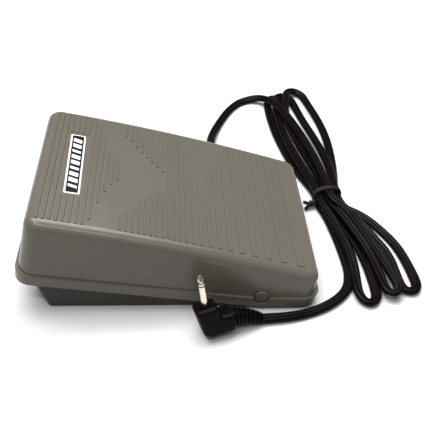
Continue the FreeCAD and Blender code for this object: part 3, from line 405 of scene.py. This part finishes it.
def make_spring(node):
    """A compression spring with closed ends in the place of the plain helix."""
    low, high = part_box(node)
    x, y = (low[0] + high[0]) / 2, (low[1] + high[1]) / 2
    radius = (high[0] - low[0]) / 2 - SPRING_WIRE_R
    z0, z1 = low[2] + SPRING_WIRE_R, high[2] - SPRING_WIRE_R
    open_turns = SPRING_TURNS - 2 * SPRING_CLOSED
    pitch = (z1 - z0 - 2 * SPRING_CLOSED * SPRING_CLOSED_PITCH) / open_turns
    line = []
    for i in range(int(SPRING_TURNS * 40) + 1):
        turn = i / 40
        a = 2 * math.pi * turn
        z = z0 + SPRING_CLOSED_PITCH * min(turn, SPRING_CLOSED)
        z += pitch * min(max(turn - SPRING_CLOSED, 0), open_turns)
        z += SPRING_CLOSED_PITCH * max(turn - SPRING_CLOSED - open_turns, 0)
        line.append((x + radius * math.cos(a), y + radius * math.sin(a), z))
    spring = swept(node + "_coil", smoothed(np.array(line), 3), circle(SPRING_WIRE_R))
    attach(spring, "base")
    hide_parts(node)
    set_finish(spring, "spring_steel")
    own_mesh(spring)
    return spring


def make_label_bars():
    """A row of slanted bars printed in white on the label's black field."""
    points = np.array([v.co[:] for v in NODES["label_field"].data.vertices])
    middle = (points.max(0) + points.min(0)) / 2
    axes = np.linalg.svd(points - points.mean(0), full_matrices=False)[2]
    long, wide = axes[0] * np.sign(axes[0][1]), axes[1] * np.sign(axes[1][0])
    up = np.cross(wide, long)
    half_l = np.abs((points - middle) @ long).max()
    half_w = np.abs((points - middle) @ wide).max()
    top = ((points - middle) @ up).max()
    pitch = 2 * (half_l - BAR_FROM_END) / BAR_COUNT
    tall = half_w - BAR_FROM_SIDE
    verts, faces = [], []
    for i in range(BAR_COUNT):
        centre = -half_l + BAR_FROM_END + pitch * (i + 0.5)
        width = pitch * (BAR_WIDE if i % 3 else BAR_NARROW)
        base = len(verts)
        for height in (top, top + BAR_INK):
            for a, b in CORNERS:
                along = centre + a * width / 2 - b * tall * BAR_SLANT
                verts.append(tuple(middle + long * along + wide * b * tall + up * height))
        faces += [(base + 4, base + 5, base + 6, base + 7), (base + 3, base + 2, base + 1, base)]
        for k in range(4):
            m = (k + 1) % 4
            faces.append((base + k, base + m, base + 4 + m, base + 4 + k))
    bars_piece = mesh_piece("label_bars", verts, faces, smooth=False)
    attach(bars_piece, "cover")
    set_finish(bars_piece, "label_white")
    return bars_piece


# ---------------------------------------------------------------- camera, floor and light

def make_camera():
    """The camera from which the front, the treadle and the hank are seen."""
    forward = Vector((math.sin(CAMERA_YAW) * math.cos(CAMERA_DOWN),
                      math.cos(CAMERA_YAW) * math.cos(CAMERA_DOWN),
                      -math.sin(CAMERA_DOWN)))
    level = Vector((math.cos(CAMERA_YAW), -math.sin(CAMERA_YAW), 0))
    above = level.cross(forward)
    right = level * math.cos(CAMERA_ROLL) + above * math.sin(CAMERA_ROLL)
    up = above * math.cos(CAMERA_ROLL) - level * math.sin(CAMERA_ROLL)
    data = bpy.data.cameras.new("camera")
    data.lens = CAMERA_LENS
    data.sensor_width = 36.0
    data.clip_start, data.clip_end = 0.01, 20.0
    camera = bpy.data.objects.new("camera", data)
    bpy.context.scene.collection.objects.link(camera)
    turn = Matrix((right, up, -forward)).transposed()
    camera.matrix_world = Matrix.Translation(CAMERA_AT) @ turn.to_4x4()
    bpy.context.scene.camera = camera


def area_light(name, place, aim, size, power):
    """A white rectangular light at a place, turned to the point that it lights."""
    data = bpy.data.lights.new(name, "AREA")
    data.shape = "RECTANGLE"
    data.size, data.size_y = size
    data.energy = power
    light = bpy.data.objects.new(name, data)
    bpy.context.scene.collection.objects.link(light)
    light.location = place
    light.rotation_euler = (Vector(aim) - Vector(place)).to_track_quat("-Z", "Y").to_euler()


def make_stage():
    """A pale floor, a soft light from above, and two strips that light the cover's rounded edges."""
    floor = mesh_piece("floor", [(a * FLOOR_HALF, b * FLOOR_HALF, 0) for a, b in CORNERS], [(0, 1, 2, 3)])
    pale = grained("floor_pale", FLOOR_COLOUR, 0.85, grain=160, depth=0.0002, mottle=0.02)
    floor.data.materials.append(pale)
    world = bpy.data.worlds.new("studio")
    world.use_nodes = True
    background = world.node_tree.nodes["Background"]
    background.inputs["Color"].default_value = (1, 1, 1, 1)
    background.inputs["Strength"].default_value = WORLD_STRENGTH
    bpy.context.scene.world = world
    bpy.context.scene.view_settings.view_transform = "Standard"
    area_light("overhead_back", (-0.15, 0.30, 1.45), (0, 0.05, 0), (1.8, 1.1), KEY_POWER)
    area_light("edge_strip_near", (-0.10, -0.52, 1.0), (0, 0, 0.03), (0.9, 0.03), STRIP_POWER)
    area_light("edge_strip_far", (-0.10, 0.30, 1.1), (0, 0, 0.03), (0.9, 0.03), STRIP_POWER)


# ---------------------------------------------------------------- materials

def new_material(name):
    """A material, its node tree and the shader in it."""
    material = bpy.data.materials.new(name)
    material.use_nodes = True
    tree = material.node_tree
    return material, tree, tree.nodes["Principled BSDF"]


def noise(tree, scale, detail, stretch=(1, 1, 1)):
    """Noise in the object's own metres, with scale features to the metre."""
    place = tree.nodes.new("ShaderNodeTexCoord")
    mapping = tree.nodes.new("ShaderNodeMapping")
    mapping.inputs["Scale"].default_value = stretch
    texture = tree.nodes.new("ShaderNodeTexNoise")
    texture.inputs["Scale"].default_value = scale
    texture.inputs["Detail"].default_value = detail
    texture.inputs["Roughness"].default_value = 0.55
    tree.links.new(place.outputs["Object"], mapping.inputs["Vector"])
    tree.links.new(mapping.outputs["Vector"], texture.inputs["Vector"])
    return texture.outputs["Fac"]


def ranged(tree, value, low, high):
    """The value spread over low to high."""
    node = tree.nodes.new("ShaderNodeMapRange")
    node.inputs["From Min"].default_value = 0.3
    node.inputs["From Max"].default_value = 0.7
    node.inputs["To Min"].default_value = low
    node.inputs["To Max"].default_value = high
    tree.links.new(value, node.inputs["Value"])
    return node.outputs["Result"]


def toned(tree, value, first, second):
    """A colour between two, by the value."""
    ramp = tree.nodes.new("ShaderNodeValToRGB")
    ramp.color_ramp.elements[0].position = 0.32
    ramp.color_ramp.elements[1].position = 0.68
    ramp.color_ramp.elements[0].color = (*first, 1)
    ramp.color_ramp.elements[1].color = (*second, 1)
    tree.links.new(value, ramp.inputs["Fac"])
    return ramp.outputs["Color"]


def scaled(colour, share):
    """The colour made lighter or darker."""
    return tuple(min(1.0, c * share) for c in colour)


def bumped(tree, shader, value, depth, strength=1.0, under=None):
    """The value as relief on the shader, on top of the relief that is under it."""
    bump = tree.nodes.new("ShaderNodeBump")
    bump.inputs["Strength"].default_value = strength
    bump.inputs["Distance"].default_value = depth
    tree.links.new(value, bump.inputs["Height"])
    if under is not None:
        tree.links.new(under.outputs["Normal"], bump.inputs["Normal"])
    tree.links.new(bump.outputs["Normal"], shader.inputs["Normal"])
    return bump


def grained(name, colour, roughness, grain, depth, mottle, stretch=(1, 1, 1), specular=0.5):
    """A surface with a fine grain, slow patches of tone and uneven gloss."""
    material, tree, shader = new_material(name)
    shader.inputs["Specular IOR Level"].default_value = specular
    tone = toned(tree, noise(tree, PATCHES, 5.0), scaled(colour, 1 - mottle), scaled(colour, 1 + mottle))
    tree.links.new(tone, shader.inputs["Base Color"])
    gloss = ranged(tree, noise(tree, GLOSS_PATCHES, 3.0), roughness - 0.05, roughness + 0.06)
    tree.links.new(gloss, shader.inputs["Roughness"])
    bumped(tree, shader, noise(tree, grain, 3.0, stretch), depth)
    return material


def moulded_cover():
    """Satin taupe plastic: spark-eroded grain, faint flow marks, and fine dust in the grain."""
    material, tree, shader = new_material("cover_plastic")
    shader.inputs["Specular IOR Level"].default_value = 0.26
    flow = noise(tree, 16, 4.0, (1.0, 0.35, 1.0))
    base = toned(tree, flow, scaled(COVER_COLOUR, 0.93), scaled(COVER_COLOUR, 1.07))
    dust = tree.nodes.new("ShaderNodeMix")
    dust.data_type = "RGBA"
    specks = ranged(tree, noise(tree, 2600, 2.0), 0.0, 0.10)
    tree.links.new(specks, dust.inputs["Factor"])
    tree.links.new(base, dust.inputs["A"])
    dust.inputs["B"].default_value = (*scaled(COVER_COLOUR, 1.7), 1)
    tree.links.new(dust.outputs["Result"], shader.inputs["Base Color"])
    tree.links.new(ranged(tree, noise(tree, 90, 4.0), 0.17, 0.24), shader.inputs["Roughness"])
    coarse = bumped(tree, shader, noise(tree, 1500, 2.0), 0.00006)
    bumped(tree, shader, noise(tree, 60, 2.0), 0.00005, 0.6, coarse)
    return material


def cord_pvc(name, colour, roughness):
    """Soft black PVC with drawn streaks, a waxy sheen and a little dust."""
    material, tree, shader = new_material(name)
    shader.inputs["Specular IOR Level"].default_value = 0.06
    tone = toned(tree, noise(tree, 55, 5.0), scaled(colour, 0.8), scaled(colour, 1.35))
    tree.links.new(tone, shader.inputs["Base Color"])
    gloss = ranged(tree, noise(tree, 140, 4.0), roughness - 0.07, roughness + 0.09)
    tree.links.new(gloss, shader.inputs["Roughness"])
    fine = bumped(tree, shader, noise(tree, 1900, 2.0), 0.00003)
    bumped(tree, shader, noise(tree, 130, 3.0), 0.00012, 0.5, fine)
    return material


def bright_metal(name, colour, roughness):
    """Plated or drawn metal, with fine turning lines and small differences in gloss."""
    material, tree, shader = new_material(name)
    shader.inputs["Metallic"].default_value = 1.0
    tone = toned(tree, noise(tree, 220, 4.0), scaled(colour, 0.88), scaled(colour, 1.06))
    tree.links.new(tone, shader.inputs["Base Color"])
    gloss = ranged(tree, noise(tree, 420, 4.0), roughness - 0.05, roughness + 0.08)
    tree.links.new(gloss, shader.inputs["Roughness"])
    bumped(tree, shader, noise(tree, 900, 2.0, (0.15, 0.15, 1.0)), 0.00002, 0.7)
    return material


def make_materials():
    """One material for each slot of the record and of the visual pieces."""
    return {
        "cover_plastic": moulded_cover(),
        # The base's colour is darkened with painted shade for the shadow under the cover's overhang.
        "base_plastic": grained("base_plastic", BASE_COLOUR_WITH_PAINTED_SHADE, 0.46, 1300, 0.00006, 0.10, specular=0.3),
        "label_white": grained("label_white", (0.70, 0.70, 0.68), 0.34, 700, 0.00001, 0.03),
        "label_black": grained("label_black", (0.006, 0.006, 0.007), 0.34, 900, 0.00001, 0.15,
                               specular=0.12),
        "rubber_black": grained("rubber_black", (0.022, 0.021, 0.021), 0.72, 1100, 0.00008, 0.18,
                                specular=0.35),
        "spring_steel": bright_metal("spring_steel", (0.50, 0.50, 0.51), 0.28),
        "steel": bright_metal("steel", (0.56, 0.56, 0.57), 0.32),
        "pot_metal": bright_metal("pot_metal", (0.62, 0.62, 0.61), 0.38),
        "brass": bright_metal("brass", (0.72, 0.56, 0.28), 0.30),
        "lever_plastic": grained("lever_plastic", (0.68, 0.66, 0.60), 0.45, 1200, 0.00004, 0.05),
        "board_laminate": grained("board_laminate", (0.30, 0.20, 0.09), 0.42, 380, 0.00003, 0.16,
                                  stretch=(1, 4, 1)),
        "resistor_body": grained("resistor_body", (0.55, 0.42, 0.25), 0.4, 1600, 0.00003, 0.10),
        "capacitor_sleeve": grained("capacitor_sleeve", (0.03, 0.05, 0.12), 0.25, 700, 0.00002, 0.10),
        "trimmer_blue": grained("trimmer_blue", (0.05, 0.12, 0.40), 0.35, 1200, 0.00003, 0.08),
        "terminal_green": grained("terminal_green", (0.05, 0.25, 0.10), 0.38, 1200, 0.00003, 0.08),
        "wire_insulation": cord_pvc("wire_insulation", (0.10, 0.10, 0.11), 0.42),
        "cord_pvc": cord_pvc("cord_pvc", CORD_COLOUR, 0.33),
        "tie_plastic": cord_pvc("tie_plastic", (0.012, 0.012, 0.013), 0.40),
        "plug_pvc": cord_pvc("plug_pvc", CORD_COLOUR, 0.42),
        "plug_metal": bright_metal("plug_metal", (0.80, 0.74, 0.64), 0.20),
        "plug_insulator": grained("plug_insulator", (0.012, 0.012, 0.012), 0.35, 900, 0.00001, 0.1),
        "rating_foil": bright_metal("rating_foil", (0.62, 0.62, 0.62), 0.36),
    }


def main():
    """The visual pieces, the stage, and a material for every piece."""
    make_camera()
    pieces = [make_cord()] + make_tie()
    pieces += [make_spring(node) for node in ("return_spring_front", "return_spring_rear")]
    pieces.append(make_label_bars())
    make_stage()
    materials = make_materials()
    for name, node in NODES.items():
        node.data.materials.clear()
        node.data.materials.append(materials[SLOTS[name]])
    for piece in pieces:
        piece.data.materials.append(materials[piece["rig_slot"]])


main()
